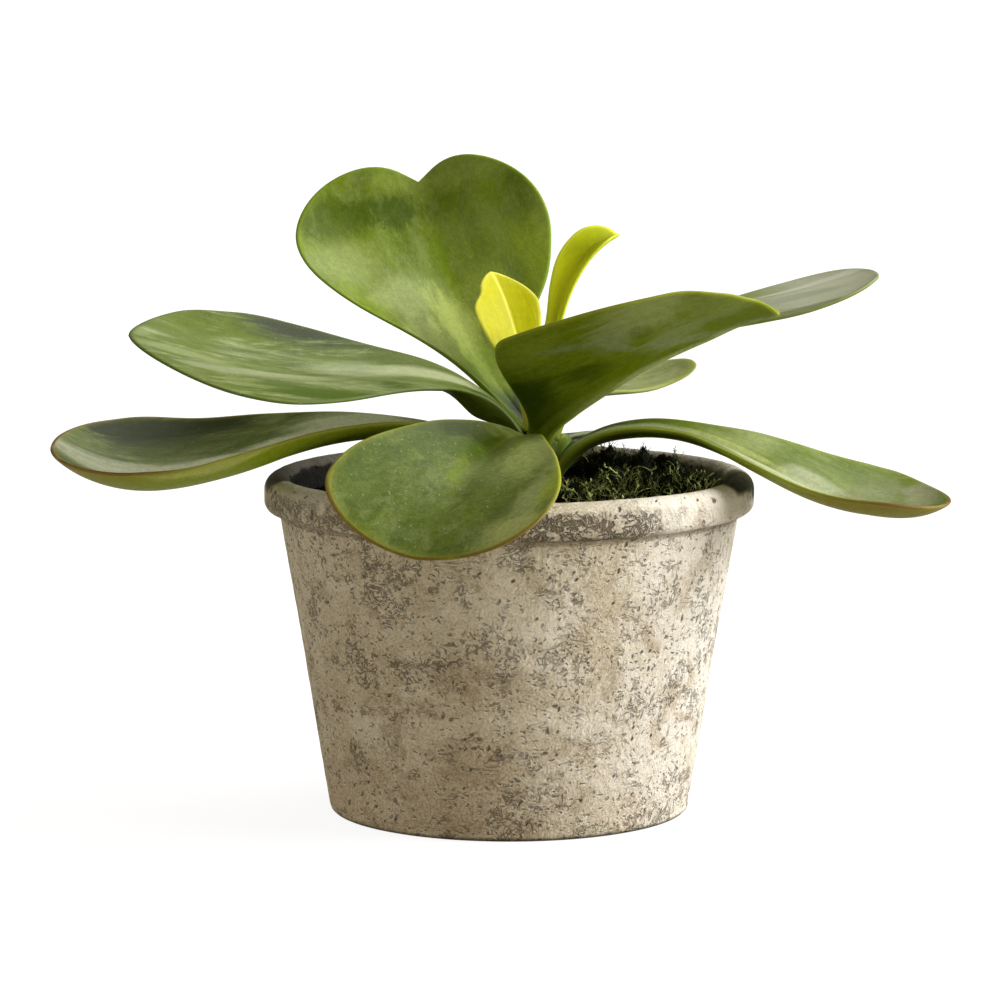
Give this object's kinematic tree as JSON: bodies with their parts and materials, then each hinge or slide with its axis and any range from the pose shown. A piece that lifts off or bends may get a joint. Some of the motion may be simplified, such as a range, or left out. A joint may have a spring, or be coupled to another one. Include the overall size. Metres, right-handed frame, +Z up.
{
  "type": "potted kalanchoe",
  "caption": "Low rosette of thick, rounded kalanchoe leaves on a short stem, in a round tapered cement pot with a rolled rim, filled with dark soil and moss.",
  "frame": {"origin": "centre of the pot's foot, on the surface that the pot stands on", "axes": "+Z up along the pot's axis, -Y towards the viewer of the plant's front, +X to the viewer's right"},
  "size_m": [0.2707, 0.2087, 0.1984],
  "materials": {
    "pot_cement": "matte",
    "soil": "matte",
    "stem": "satin",
    "leaf": "satin",
    "young_leaf": "satin",
    "moss": "matte"
  },
  "bodies": {
    "root": {"pot": "pot_cement", "soil": "soil", "stem": "stem", "leaf_heart": "leaf", "leaf_upper_left": "leaf", "leaf_lower_left": "leaf", "leaf_front": "leaf", "leaf_right_near": "leaf", "leaf_right_far": "leaf", "leaf_lower_right": "leaf", "leaf_back_right": "leaf", "leaf_back_low": "leaf", "leaf_young_broad": "young_leaf", "leaf_young_curled": "young_leaf", "leaf_bud": "young_leaf", "moss_front": "moss", "moss_right": "moss", "moss_back": "moss"}
  },
  "joints": []
}
